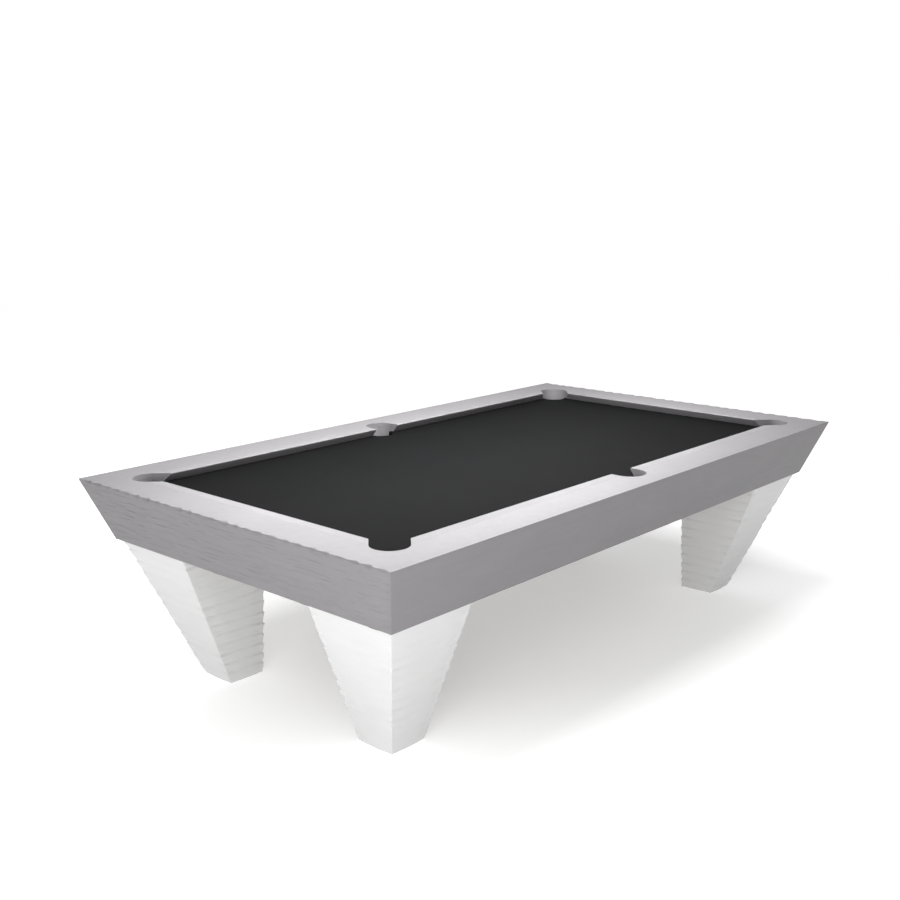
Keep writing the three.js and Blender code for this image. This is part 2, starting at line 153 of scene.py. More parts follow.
# Fasteners
RAIL_BOLT_OUT = 0.063           # rail bolts stand this far out from a nose line
RAIL_BOLT_PLACES = {0: (0.30, 0.65, 1.00), 1: (0.0, 0.35)}
PLATE_BOTTOM = 0.5553           # underside of the steel plate at the top of a leg
PLATE_BOLT_PLACES = ((-0.045, 0.0935), (0.200, 0.0935), (0.0945, -0.045), (0.0945, 0.200))
CUP_SCREW_ANGLES = (0.0, 2.1, -2.1)
WASHER_RADIUS = 0.015
WASHER_THICKNESS = 0.002
BOLT_RADIUS = 0.0105
BOLT_HEAD = 0.007
BOLT_SINK = 0.0005              # the head reaches this far into its washer
BOLT_CHAMFER = 0.0012
BOLT_DISH = 0.0006
SCREW_RADIUS = 0.0048
SCREW_HEAD = 0.0024

SIDES = {
    "front": dict(axis=0, turn=math.pi),
    "back": dict(axis=0, turn=0.0),
    "left": dict(axis=1, turn=math.pi / 2),
    "right": dict(axis=1, turn=-math.pi / 2),
}                               # the axis a side runs along, and its turn from the back
POCKET_ROWS = (("front", -1), ("back", 1))
POCKET_COLUMNS = (("left", -1), ("middle", 0), ("right", 1))
LEGS = (("front_left", -1, -1), ("front_right", 1, -1), ("back_left", -1, 1), ("back_right", 1, 1))
FIRST_LEG_SEED, NEXT_LEG_SEED = 20.0, 3.0      # each leg has its own part of the noise

# ------------------------------------------------------------------ colours, stage and camera

NEUTRAL = (1.0, 1.0, 1.0)
LACQUER_TINT = (1.0, 0.968, 1.0)
BED_TINT = (0.97, 1.0, 1.05)
STEEL_TINT = (0.98, 1.0, 1.03)

FLOOR_REACH = 60.0              # half the floor's side
PAINTED_SHADOW_REACH = (1.75, 1.15)      # painted shadow on the floor: its glow stays low over about this far along X and along Y
# the middle of the floor's painted shadow
PAINTED_SHADOW_CENTRE = (0.45, 0.0, 0.0)
BRIGHT_SIDE = (0.73, 0.683, 0.0)               # the side where the room is bright

CAMERA_PLACE = (-3.7052, -3.0522, 1.8703)
CAMERA_HEADING = (0.72817, 0.64870, -0.22127)
CAMERA_LENS = 46.59
CAMERA_SENSOR = 36.0


# ------------------------------------------------------------------ material helpers

class Shade:
    """A node material under construction: a Principled shader and the nodes that feed it."""

    def __init__(self, name, roughness, **sockets):
        self.material = bpy.data.materials.new(name)
        self.material.use_nodes = True
        self.tree = self.material.node_tree
        self.shader = self.tree.nodes["Principled BSDF"]
        self.shader.inputs["Roughness"].default_value = roughness
        for socket, value in sockets.items():
            self.shader.inputs[socket.replace("_", " ")].default_value = value

    def node(self, kind, **values):
        """A new node, with its properties and its unlinked inputs set by name."""
        made = self.tree.nodes.new(kind)
        for key, value in values.items():
            if hasattr(made, key):
                setattr(made, key, value)
            else:
                made.inputs[key.replace("_", " ")].default_value = value
        return made

    def link(self, source, target):
        self.tree.links.new(source, target)

    def coordinates(self, scale=(1, 1, 1), centre=(0, 0, 0)):
        """The place on the object, measured from a centre and scaled along each axis."""
        where = self.node("ShaderNodeTexCoord").outputs["Object"]
        mapping = self.node("ShaderNodeMapping")
        mapping.inputs["Scale"].default_value = scale
        mapping.inputs["Location"].default_value = [-c * s for c, s in zip(centre, scale)]
        self.link(where, mapping.inputs["Vector"])
        return mapping.outputs["Vector"]

    def cloud(self, scale, stretch=(1, 1, 1), detail=3.0):
        """Noise between 0 and 1."""
        made = self.node("ShaderNodeTexNoise", Scale=scale, Detail=detail, Roughness=0.55)
        self.link(self.coordinates(stretch), made.inputs["Vector"])
        return made.outputs["Fac"]

    def math(self, operation, first, second):
        """Arithmetic on two values, each of them a number or another node's output."""
        made = self.node("ShaderNodeMath", operation=operation)
        for socket, value in zip(made.inputs, (first, second)):
            if isinstance(value, (int, float)):
                socket.default_value = value
            else:
                self.link(value, socket)
        return made.outputs["Value"]

    def colour(self, factor, *stops):
        """Base colour that follows a value through (place, colour) stops."""
        made = self.node("ShaderNodeValToRGB")
        while len(made.color_ramp.elements) < len(stops):
            made.color_ramp.elements.new(0.5)
        for element, (place, colour) in zip(made.color_ramp.elements, stops):
            element.position = place
            element.color = (*colour, 1.0)
        self.link(factor, made.inputs["Fac"])
        self.link(made.outputs["Color"], self.shader.inputs["Base Color"])

    def rough(self, factor, low, high):
        """Roughness that follows a value."""
        made = self.node("ShaderNodeMapRange", To_Min=low, To_Max=high)
        self.link(factor, made.inputs["Value"])
        self.link(made.outputs["Result"], self.shader.inputs["Roughness"])

    def bump(self, height, distance, strength):
        """Fine relief in the shading."""
        made = self.node("ShaderNodeBump", Distance=distance, Strength=strength)
        self.link(height, made.inputs["Height"])
        self.link(made.outputs["Normal"], self.shader.inputs["Normal"])


def grey(level, tint=NEUTRAL):
    """A near-neutral colour at a linear brightness."""
    return tuple(level * channel for channel in tint)


def painted_carving(name, level, roughness, spread, tint=NEUTRAL):
    """Satin lacquer over carved wood: cloudy tone, faint brushing and a fine orange peel."""
    peel_share, unevenness = 0.25, 0.06
    shade = Shade(name, roughness)
    tone = shade.cloud(scale=5.0, stretch=(1, 1, 2.5), detail=4.0)
    dark, light = grey(level * (1 - spread), tint), grey(level * (1 + spread), tint)
    shade.colour(tone, (0.3, dark), (0.7, light))
    brushing = shade.cloud(scale=38.0, stretch=(1, 1, 7), detail=2.0)
    shade.rough(brushing, roughness - unevenness, roughness + unevenness)
    peel = shade.cloud(scale=420.0, detail=1.0)
    height = shade.math("ADD", brushing, shade.math("MULTIPLY", peel, peel_share))
    shade.bump(height, distance=0.00025, strength=0.5)
    return shade.material


def woven(name, level, thread, roughness, gloss, tint):
    """Worsted cloth: two crossed sets of threads with a slightly uneven dye and some nap."""
    weave_share, dye_share, nap_share, spread = 0.35, 0.65, 0.4, 0.15
    shade = Shade(name, roughness, Specular_IOR_Level=gloss)
    threads = []
    for axis in ("X", "Y"):
        wave = shade.node("ShaderNodeTexWave", wave_type="BANDS", bands_direction=axis,
                          Scale=thread, Distortion=0.6, Detail=1.0)
        shade.link(shade.coordinates(), wave.inputs["Vector"])
        threads.append(wave.outputs["Fac"])
    weave = shade.math("MULTIPLY", *threads)
    dye = shade.cloud(scale=3.0, detail=5.0)
    weave_tone = shade.math("MULTIPLY", weave, weave_share)
    dye_tone = shade.math("MULTIPLY", dye, dye_share)
    mixed = shade.math("ADD", weave_tone, dye_tone)
    shade.colour(mixed, (0.2, grey(level * (1 - spread), tint)), (0.65, grey(level * (1 + spread), tint)))
    nap = shade.cloud(scale=900.0, stretch=(1, 3, 1), detail=1.0)
    height = shade.math("ADD", weave, shade.math("MULTIPLY", nap, nap_share))
    shade.bump(height, distance=0.0002, strength=0.5)
    return shade.material


def hardwood(name):
    """Planed beech: long grain, darker growth rings and fine pores."""
    shade = Shade(name, roughness=0.6)
    ring, wood, pale = (0.27, 0.20, 0.14), (0.40, 0.31, 0.22), (0.48, 0.39, 0.29)
    grain = shade.cloud(scale=7.0, stretch=(0.5, 6, 6), detail=6.0)
    shade.colour(grain, (0.3, ring), (0.55, wood), (0.8, pale))
    pores = shade.cloud(scale=160.0, stretch=(0.15, 1, 1), detail=2.0)
    shade.rough(pores, low=0.5, high=0.7)
    shade.bump(pores, distance=0.0002, strength=0.6)
    return shade.material


def honed_slate(name):
    """Honed slate with faint clouding and cleft marks."""
    shade = Shade(name, roughness=0.75)
    dark, light = (0.050, 0.056, 0.064), (0.105, 0.112, 0.122)
    cloud = shade.cloud(scale=9.0, stretch=(1, 1, 3), detail=7.0)
    shade.colour(cloud, (0.3, dark), (0.7, light))
    grit = shade.cloud(scale=220.0, detail=3.0)
    shade.rough(cloud, low=0.62, high=0.85)
    shade.bump(grit, distance=0.0003, strength=0.5)
    return shade.material


def brushed_steel(name):
    """Bare steel with brushing marks and a patchy polish."""
    shade = Shade(name, roughness=0.35, Metallic=1.0)
    marks = shade.cloud(scale=120.0, stretch=(1, 1, 14), detail=2.0)
    shade.colour(marks, (0.3, grey(0.36, STEEL_TINT)), (0.7, grey(0.50, STEEL_TINT)))
    shade.rough(marks, low=0.26, high=0.46)
    shade.bump(marks, distance=0.0001, strength=0.4)
    return shade.material


def moulded_rubber(name):
    """Matt black rubber with a fine moulded grain."""
    shade = Shade(name, roughness=0.8)
    grain = shade.cloud(scale=340.0, detail=2.0)
    shade.colour(grain, (0.3, grey(0.006)), (0.7, grey(0.012)))
    shade.rough(grain, low=0.7, high=0.88)
    shade.bump(grain, distance=0.0002, strength=0.6)
    return shade.material


MATERIAL = {
    "grey_carving": painted_carving("grey_carving", level=0.174, roughness=0.62, spread=0.03,
                                    tint=LACQUER_TINT),
    "white_carving": painted_carving("white_carving", level=0.545, roughness=0.5, spread=0.015),
    "cushion_cloth": woven("cushion_cloth", level=0.184, thread=260.0, roughness=0.68, gloss=0.5,
                           tint=LACQUER_TINT),
    "bed_cloth": woven("bed_cloth", level=0.0045, thread=260.0, roughness=0.92, gloss=0.05,
                       tint=BED_TINT),
    "slate": honed_slate("slate"),
    "hardwood": hardwood("hardwood"),
    "steel": brushed_steel("steel"),
    "pocket_rubber": moulded_rubber("pocket_rubber"),
}


# ------------------------------------------------------------------ mesh helpers

def settle(mesh, weld_within=0.0, smooth_below=SMOOTH_BELOW):
    """Face every polygon outward, and shade smooth the edges that bend less than an angle."""
    build = bmesh.new()
    build.from_mesh(mesh)
    if weld_within:
        bmesh.ops.remove_doubles(build, verts=build.verts, dist=weld_within)
    bmesh.ops.recalc_face_normals(build, faces=build.faces)
    build.to_mesh(mesh)
    build.free()
    mesh.polygons.foreach_set("use_smooth", [True] * len(mesh.polygons))
    mesh.set_sharp_from_angle(angle=math.radians(smooth_below))


def make_piece(name, points, faces, slot, body="table", replaces=(), smooth_below=SMOOTH_BELOW, turn=0.0):
    """A mesh piece that rides on a body."""
    mesh = bpy.data.meshes.new(name)
    mesh.from_pydata([Vector(p) for p in points], [], faces)
    if turn:
        mesh.transform(Matrix.Rotation(turn, 4, "Z"))
    settle(mesh, smooth_below=smooth_below)
    piece = bpy.data.objects.new(name, mesh)
    bpy.context.scene.collection.objects.link(piece)
    mesh.materials.append(MATERIAL[slot])
    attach(piece, body)
    if replaces:
        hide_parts(*replaces)
    return piece


def weld(piece):
    """Join a piece's points that lie in one place."""
    settle(piece.data, weld_within=WELD)


def add_bevel(piece, width, angle, segments=2):
    """Round the edges that bend more than an angle in degrees."""
    bevel = piece.modifiers.new("bevel", "BEVEL")
    bevel.width = width
    bevel.segments = segments
    bevel.limit_method = "ANGLE"
    bevel.angle_limit = math.radians(angle)
    bevel.harden_normals = True


def band(count, low, high):
    """Faces that join one closed ring of points to another."""
    faces = []
    for i in range(count):
        j = (i + 1) % count
        faces.append((low + i, low + j, high + j, high + i))
    return faces


def ring_loft(rings):
    """Points and faces of closed rings joined one to the next, with both ends closed."""
    count = len(rings[0])
    points = [point for ring in rings for point in ring]
    last = (len(rings) - 1) * count
    faces = []
    for start in range(0, last, count):
        faces += band(count, start, start + count)
    faces.append(tuple(range(count - 1, -1, -1)))
    faces.append(tuple(range(last, last + count)))
    return points, faces


def closed_loft(rings):
    """Points and faces of closed rings joined round in a loop, as a hollow sleeve is."""
    count = len(rings[0])
    points = [point for ring in rings for point in ring]
    faces = []
    for k in range(len(rings)):
        following = (k + 1) % len(rings)
        faces += band(count, k * count, following * count)
    return points, faces


def polar(centre, angle, distance):
    """The place at a distance from a centre, along an angle in plan."""
    return centre[0] + distance * math.cos(angle), centre[1] + distance * math.sin(angle)


def turned(profile, sides, centre):
    """Points and faces of a radius and height profile spun about an upright axis.

    The profile starts and ends on the axis, which closes the solid.
    """
    points = []
    for radius, height in profile[1:-1]:
        for i in range(sides):
            points.append((*polar(centre, 2 * math.pi * i / sides, radius), height))
    faces = []
    last = (len(profile) - 3) * sides
    low, high = len(points), len(points) + 1
    points += [(*centre, profile[0][1]), (*centre, profile[-1][1])]
    for i in range(sides):
        j = (i + 1) % sides
        for k in range(0, last, sides):
            faces.append((k + i, k + j, k + sides + j, k + sides + i))
        faces.append((low, j, i))
        faces.append((high, last + i, last + j))
    return points, faces


def joined(shapes):
    """Several shapes' points and faces as one."""
    points, faces = [], []
    for more_points, more_faces in shapes:
        start = len(points)
        points += more_points
        faces += [tuple(start + i for i in face) for face in more_faces]
    return points, faces


def steps(start, stop, spacing):
    """Even steps from one value to another, as near a spacing as fits."""
    count = max(1, round((stop - start) / spacing))
    return [start + (stop - start) * i / count for i in range(count + 1)]


def smoothstep(low, high, value):
    """0 below one value, 1 above another and a smooth rise between."""
    t = min(1.0, max(0.0, (value - low) / (high - low)))
    return t * t * (3 - 2 * t)


def rounding(distance, radius):
    """How far a rounded edge falls back from its sharp corner at a distance along one face."""
    if distance >= radius:
        return 0.0
    return radius - math.sqrt(radius ** 2 - (radius - distance) ** 2)


# ------------------------------------------------------------------ carving

CARVING = {
    "left": dict(seed=1.0, pitch=0.030, ledges=0.0009, dashes=0.0015),
    "right": dict(seed=2.0, pitch=0.030, ledges=0.0009, dashes=0.0015),
    "front": dict(seed=3.0, pitch=0.034, ledges=0.0004, dashes=0.0003),
    "back": dict(seed=4.0, pitch=0.034, ledges=0.0004, dashes=0.0003),
}                               # pitch between ledges, and the depths of ledges and dashes
LEG_CARVING = dict(pitch=0.043, ledges=0.0044, dashes=0.0018)
WANDER = 0.45                   # how far a ledge meanders up and down, in pitches
LEDGE_RISE, LEDGE_FALL = 0.8, 0.2              # shares of a pitch where a ledge comes out and drops
PLAIN_SHARE = 0.3               # how much of a ledge is left where the carving is weakest
PLAIN_BELOW, FULL_ABOVE = -0.35, 0.25
DASH_SLOPE = 0.04
DASH_FROM, DASH_FULL = 0.26, 0.42
LEDGE_DETAIL, PATCH_DETAIL, DASH_DETAIL = (5.0, 4.0), (4.0, 7.0), (13.0, 120.0)
PATCH_SEED, DASH_SEED, RIM_SEED = 7.0, 3.0, 11.0   # keep the patterns of one side apart

RIM = {
    "left": (0.002, 0.020), "right": (0.002, 0.020),
    "front": (0.002, 0.0025), "back": (0.002, 0.0025),
}                               # smallest and largest radius where an apron turns over at the top
RIM_PITCH = 0.062
RIM_DRIFT = 0.5
RIM_SIZE, RIM_SPREAD = 0.75, 0.6
RIM_DRIFT_DETAIL, RIM_SIZE_DETAIL = 7.0, 9.0
RIM_SIZE_LAYER = 4.0            # the noise that sets a scallop's size is cut through at this height


def noise_at(along, up, detail, seed):
    """Smooth noise over a carved face, with its own detail along and up."""
    return noise.noise(Vector((along * detail[0], up * detail[1], seed)))


def carved_depth(along, up, seed, pitch, ledges, dashes):
    """How deep the carving goes at a place: meandering ledges, with short raised dashes."""
    meander = WANDER * pitch * noise_at(along, up, LEDGE_DETAIL, seed)
    phase = ((up + meander) / pitch) % 1.0
    ledge = phase / LEDGE_RISE if phase < LEDGE_RISE else (1.0 - phase) / LEDGE_FALL
    strength = smoothstep(PLAIN_BELOW, FULL_ABOVE, noise_at(along, up, PATCH_DETAIL, seed + PATCH_SEED))
    patchy = PLAIN_SHARE + (1 - PLAIN_SHARE) * strength
    slope = along * DASH_SLOPE * math.sin(seed)
    streak = noise_at(along, up + slope, DASH_DETAIL, seed + DASH_SEED)
    dash = smoothstep(DASH_FROM, DASH_FULL, streak)
    return ledges * (1.0 - ledge) * patchy + dashes * (1.0 - dash)


def to_mitre(side, along, up):
    """How far a place on an apron's face is from the nearer mitred corner."""
    return HALF_OUTER[SIDES[side]["axis"]] - (TABLE_TOP - up) * LEAN - abs(along)


def apron_relief(side, along, up, corner):
    """The apron's carved depth, which dies away towards its rounded corners."""
    depth = carved_depth(along, up, **CARVING[side])
    return depth * smoothstep(0.0, CORNER_CALM, corner) + rounding(corner, CORNER_ROUND)


def rim_radius(side, along):
    """The radius of an apron's top edge, hewn by hand into uneven scallops on the two ends."""
    small, large = RIM[side]
    seed = CARVING[side]["seed"]
    drift = RIM_DRIFT * noise_at(along, 0.0, (RIM_DRIFT_DETAIL, 1.0), seed + RIM_SEED)
    scallop = 0.5 + 0.5 * math.sin(2 * math.pi * (along / RIM_PITCH + drift))
    size = RIM_SIZE + RIM_SPREAD * noise_at(along, RIM_SIZE_LAYER, (RIM_SIZE_DETAIL, 1.0), seed)
    calm = smoothstep(0.0, 2 * CORNER_CALM, to_mitre(side, along, TABLE_TOP))
    return small + (large - small) * min(1.0, max(0.0, size)) * scallop * calm


# ------------------------------------------------------------------ rails

def rail_side_places(side):
    """The half length and the offset of a side's nose line."""
    axis = SIDES[side]["axis"]
    return HALF_FIELD[axis], HALF_FIELD[1 - axis]


def apron_levels(side):
    """Heights up an apron's face, closer together where it turns over at the top."""
    rim = RIM[side][1]
    levels = steps(APRON_BOTTOM, TABLE_TOP - rim, APRON_GRID[side][1])
    for i in range(1, RIM_TURNS + 1):
        levels.append(TABLE_TOP - rim * (1 - math.sin(math.pi / 2 * i / RIM_TURNS)))
    return levels


def apron_stations(side):
    """Places along an apron from -1 to 1, closer together where it turns at its corners."""
    half = rail_side_places(side)[0] + RAIL_WIDTH
    near_corner = [1 - CORNER_ROUND * k / half for k in CORNER_STEPS]
    inner = steps(-near_corner[-1], near_corner[-1], APRON_GRID[side][0] / half)
    return [-s for s in near_corner[:-1]] + inner + near_corner[-2::-1]


def apron_face(side, s):
    """One upright line of points on an apron's carved face, at a share of its half length."""
    half, offset = rail_side_places(side)
    lean_length = math.hypot(1.0, LEAN)
    line = []
    for z in apron_levels(side):
        out = RAIL_WIDTH - (TABLE_TOP - z) * LEAN
        sharp = half + out - rounding(TABLE_TOP - z, RIM[side][0]) - SEAM / 2
        along = s * (sharp - CORNER_ROUND * HALFWAY_ROUND)
        depth = apron_relief(side, along, z, sharp - abs(along))
        fall = rounding(TABLE_TOP - z, rim_radius(side, along))
        lifted = min(TABLE_TOP, z + depth * LEAN / lean_length)
        line.append((along, offset + out - fall - depth / lean_length, lifted))
    return line


def apron_back(side, s, along):
    """The rest of an apron's line of points: its flat edge on top, then its plain back."""
    half, offset = rail_side_places(side)
    flat_out = RAIL_WIDTH - RIM_FLAT
    flat_end = half + flat_out - SEAM / 2
    line = [(min(flat_end, max(-flat_end, along)), offset + flat_out, TABLE_TOP)]
    for z in (CAP_BOTTOM - 2 * SEAM, APRON_BOTTOM):
        out = RAIL_WIDTH - (TABLE_TOP - z) * LEAN - APRON_SKIN
        line.append((s * (half + out - SEAM / 2), offset + out, z))
    return line


def apron_panel(side):
    """A carved apron that wraps over on to the top, mitred at both ends."""
    rings = []
    for s in apron_stations(side):
        face = apron_face(side, s)
        rings.append(face + apron_back(side, s, face[-1][0]))
    piece = make_piece(f"apron_{side}", *ring_loft(rings), "grey_carving",
                       replaces=[f"apron_panel_{side}"], turn=SIDES[side]["turn"])
    weld(piece)


def arc(centre, start, stop, count=28, radius=POCKET_RADIUS):
    """Points round part of a circle, in a side's own along and out directions."""
    return [polar(centre, start + (stop - start) * i / count, radius) for i in range(count + 1)]


def cap_outline(side):
    """A side's share of the rail top in plan, inner edge first: pockets cut out of a mitred strip."""
    half, offset = rail_side_places(side)
    inner = CUSHION_DEPTH + SEAM / 2
    cut = math.asin(inner / POCKET_RADIUS)
    outline = arc((-half, 0.0), math.pi - MITRE, cut)
    if SIDES[side]["axis"] == 0:
        tilt = math.asin((inner - SIDE_POCKET_SETBACK) / POCKET_RADIUS)
        outline += arc((0.0, SIDE_POCKET_SETBACK), math.pi - tilt, tilt)
    outline += arc((half, 0.0), math.pi - cut, MITRE)
    return [(x, offset + y) for x, y in outline]


def rail_top():
    """The flat top round the whole table, with no seam at its mitres."""
    points, faces = [], []
    top_fall = RIM_FLAT + SEAM
    foot_fall = (TABLE_TOP - CAP_BOTTOM) * LEAN + APRON_SKIN
    for side, place in SIDES.items():
        half, offset = rail_side_places(side)
        turn = Matrix.Rotation(place["turn"], 3, "Z")
        inner = cap_outline(side)
        count = len(inner)
        for z, fall in ((CAP_BOTTOM, foot_fall), (TABLE_TOP, top_fall)):
            start = len(points)
            out = RAIL_WIDTH - fall
            outer = [(half + out, offset + out), (-half - out, offset + out)]
            points += [turn @ Vector((x, y, z)) for x, y in inner + outer]
            face = [start + i for i in range(count + 2)]
            faces.append(face if z == TABLE_TOP else face[::-1])
        low, high = start - count - 2, start
        for i in [*range(count - 1), count]:
            faces.append((low + i, low + i + 1, high + i + 1, high + i))
    piece = make_piece("rail_top", points, faces, "grey_carving",
                       replaces=[f"rail_cap_{side}" for side in SIDES])
    weld(piece)
    add_bevel(piece, width=0.0004, angle=60)


def cushion_section():
    """The cushion's section as out and height: a rounded nose over an undercut face."""
    foot = CLOTH_TOP + SEAM
    fall = TABLE_TOP - NOSE_RADIUS - foot
    lean = math.atan2(CUSHION_UNDERCUT, fall)
    centre = (NOSE_RADIUS, TABLE_TOP - NOSE_RADIUS)
    nose = arc(centre, math.pi / 2, math.pi + lean, NOSE_TURNS, NOSE_RADIUS)
    return [(CUSHION_DEPTH, foot), (CUSHION_DEPTH, TABLE_TOP), *nose, (CUSHION_UNDERCUT, foot)]


def cushion(name, side, low_end, high_end):
    """One cushion between two pockets. An end is a sign and how far it reaches for a distance out."""
    offset = rail_side_places(side)[1]
    rings = []
    for i in range(CUSHION_SPANS + 1):
        t = i / CUSHION_SPANS
        ring = []
        for out, z in cushion_section():
            low, high = [sign * reach(out) for sign, reach in (low_end, high_end)]
            ring.append(((1 - t) * low + t * high, offset + out, z))
        rings.append(ring)
    piece = make_piece(f"rubber_{name}", *ring_loft(rings), "cushion_cloth",
                       replaces=[name], smooth_below=35, turn=SIDES[side]["turn"])
    add_bevel(piece, width=0.0003, angle=50)


def cushions(side):
    """A side's cushions: one on a short side, and one each side of the pocket on a long side."""
    half = rail_side_places(side)[0]

    def to_corner(out):
        """The end along a corner pocket's slanted mouth."""
        return half - (POCKET_RADIUS * math.sqrt(2) - out) - SEAM

    def to_middle(_out):
        """The square end at a side pocket, the same for every distance out."""
        return POCKET_RADIUS + SEAM

    if SIDES[side]["axis"] == 1:
        cushion(f"cushion_{side}", side, (-1, to_corner), (1, to_corner))
        return
    facing = ("left", "right") if side == "back" else ("right", "left")
    cushion(f"cushion_{side}_{facing[0]}", side, (-1, to_corner), (-1, to_middle))
    cushion(f"cushion_{side}_{facing[1]}", side, (1, to_middle), (1, to_corner))


# ------------------------------------------------------------------ bed cloth and pockets

def pockets():
    """Every pocket's name, slot centre, outward heading and kind."""
    for row, sy in POCKET_ROWS:
        for column, sx in POCKET_COLUMNS:
            kind = "corner" if sx else "side"
            setback = 0.0 if sx else SIDE_POCKET_SETBACK
            x, y = sx * HALF_FIELD[0], sy * (HALF_FIELD[1] + setback)
            yield f"{row}_{column}", (x, y), math.atan2(sy, sx), kind


def bed_holes():
    """The centre and inward heading of each hole in the bed, in order round the table."""
    places = {name: (centre, heading) for name, centre, heading, _ in pockets()}
    for name in HOLE_ORDER:
        centre, heading = places[name]
        yield polar(centre, heading, HOLE_SETBACK), heading + math.pi


def cloth_outline(margin):
    """The cloth in plan, anticlockwise: arcs round the holes, with straight edges between."""
    outline = []
    for hole, inward in bed_holes():
        for i in range(HOLE_STEPS + 1):
            x, y = polar(hole, inward + math.pi * (1 - 2 * i / HOLE_STEPS), HOLE_RADIUS)
            if abs(x) < margin[0] and abs(y) < margin[1]:
                outline.append((x, y))
    return outline


def filled(outline):
    """A flat fill of an outline, with a grid of points inside it so that no face is long."""
    count = len(outline)
    reach = [max(abs(p[k]) for p in outline) - CLOTH_CLEARANCE for k in range(2)]
    holes = [hole for hole, _ in bed_holes()]
    inside = []
    for x in steps(-reach[0], reach[0], CLOTH_GRID):
        for y in steps(-reach[1], reach[1], CLOTH_GRID):
            if all(math.dist((x, y), hole) > HOLE_RADIUS + CLOTH_CLEARANCE for hole in holes):
                inside.append((x, y))
    edges = [(i, (i + 1) % count) for i in range(count)]
    points = [Vector(p) for p in outline + inside]
    found = delaunay_2d_cdt(points, edges, [], KEEP_INSIDE, SAME_PLACE)
    return [tuple(p) for p in found[0]], [tuple(f) for f in found[2]], found[3]


def turn_down(points, faces, outline, rim):
    """Roll the cloth's edge down into each hole, and leave its straight edges flat."""
    holes = [hole for hole, _ in bed_holes()]
    longest = HOLE_RADIUS / 4
    rings = [rim]
    for i in range(1, CLOTH_TURNS + 2):
        angle = math.pi / 2 * min(i, CLOTH_TURNS) / CLOTH_TURNS
        drop = CLOTH_ROLL * (1 - math.cos(angle)) + (CLOTH_TAIL if i > CLOTH_TURNS else 0.0)
        pull = CLOTH_ROLL * math.sin(angle) / HOLE_RADIUS
        ring = []
        for x, y in outline:
            hx, hy = min(holes, key=lambda hole: math.dist(hole, (x, y)))
            ring.append(len(points))
            points.append((x + (hx - x) * pull, y + (hy - y) * pull, CLOTH_TOP - drop))
        rings.append(ring)
    for upper, lower in zip(rings, rings[1:]):
        for i in range(len(outline)):
            j = (i + 1) % len(outline)
            if math.dist(outline[i], outline[j]) < longest:
                faces.append((upper[i], lower[i], lower[j], upper[j]))


def bed_cloth():
    """The bed cloth, stretched over the slate and turned down round each pocket's hole."""
    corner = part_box("bed_cloth")[1]
    margin = (corner.x, corner.y)
    outline = cloth_outline(margin)
    places, faces, origins = filled(outline)
    points = [(x, y, CLOTH_TOP) for x, y in places]
    rim = [next(k for k, o in enumerate(origins) if i in o) for i in range(len(outline))]
    turn_down(points, faces, outline, rim)
    piece = make_piece("cloth_on_bed", points, faces, "bed_cloth", replaces=["bed_cloth"])
    skin = piece.modifiers.new("thickness", "SOLIDIFY")
    skin.thickness = CLOTH_THICKNESS
    skin.offset = -1.0


def pocket_liner(name, centre, heading, kind):
    """The smooth wall round the outer half of a pocket."""
    start, stop = heading - LINER_REACH[kind], heading + LINER_REACH[kind]
    outline = arc(centre, start, stop, LINER_STEPS, POCKET_RADIUS + LINER_WALL)
    outline += arc(centre, stop, start, LINER_STEPS, POCKET_RADIUS)
    rings = [[(x, y, z) for x, y in outline] for z in (SLATE_BOTTOM + SEAM, CAP_BOTTOM - SEAM)]
    piece = make_piece(f"wall_of_pocket_{name}", *ring_loft(rings), "grey_carving",
                       replaces=[f"pocket_liner_{name}"])
    add_bevel(piece, width=0.0008, angle=60)


# ------------------------------------------------------------------ legs

def leg_spans(z, wall=0.0):
    """Where the faces of the leg at +X +Y stand along X and along Y at a height, inside a wall."""
    t = z / LEG_TOP
    far = LEG_OUTER["foot"] + (LEG_OUTER["top"] - LEG_OUTER["foot"]) * t
    near = LEG_INNER["foot"] + (LEG_INNER["top"] - LEG_INNER["foot"]) * t
    return [(half - near + wall, half - far - wall) for half in HALF_OUTER]


def leg_corners(spans):
    """A leg's four corners in plan, from the outermost round."""
    (x0, x1), (y0, y1) = spans
    return [Vector(c) for c in ((x1, y1), (x0, y1), (x0, y0), (x1, y0))]


def leg_places(length):
    """Distances along a face from one corner to the next, closer where the corners are rounded."""
    halfway, near = LEG_ROUND * HALFWAY_ROUND, LEG_ROUND * LEG_END_STEPS[-1]
    first, last = LEG_ROUND, length - LEG_ROUND
    between = [first + (last - first) * i / LEG_COLUMNS for i in range(LEG_COLUMNS + 1)]
    return [halfway, near, *between, length - near]


def leg_levels():
    """Heights up a leg, closer together where its foot and its top are rounded."""
    ends = [LEG_ROUND * k for k in LEG_END_STEPS]
    between = steps(LEG_ROUND, LEG_TOP - LEG_ROUND, LEG_LEVEL)
    return ends + between + [LEG_TOP - z for z in reversed(ends)]


